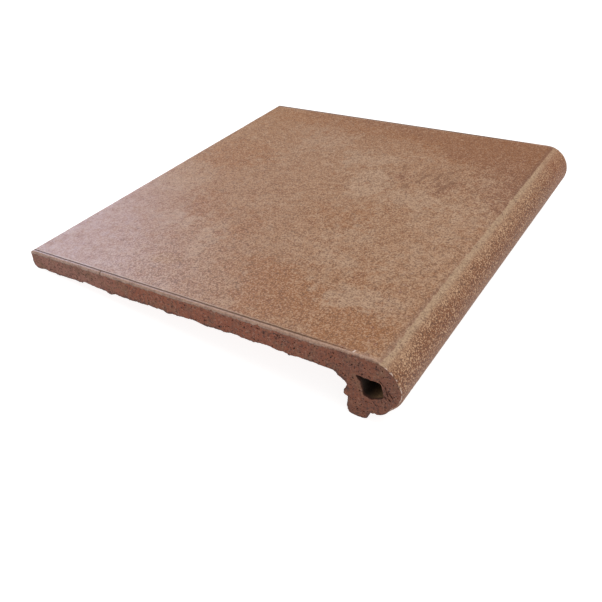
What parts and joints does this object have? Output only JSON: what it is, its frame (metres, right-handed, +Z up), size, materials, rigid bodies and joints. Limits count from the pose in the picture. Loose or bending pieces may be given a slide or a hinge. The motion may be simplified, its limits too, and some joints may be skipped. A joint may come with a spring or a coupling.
{
  "type": "stair tread tile",
  "caption": "Fired clay stair tread tile: a flat plate with a hollow rounded drip nose along its front edge and a short leg that covers the top of the riser.",
  "frame": {"origin": "on the floor under the middle of the tile's bounding box", "axes": "+X from the tail to the nose, +Y along the nose, +Z up; the plate rises towards the nose by 6.98 degrees as the tile lies on a level floor on the corner of its tail and the foot of its leg"},
  "size_m": [0.3002, 0.33, 0.0477],
  "materials": {
    "fired_clay": "matt mottled terracotta face, plain brown-red body on the cut ends and underside"
  },
  "bodies": {
    "root": {"stair_tread": "fired_clay"}
  },
  "joints": []
}
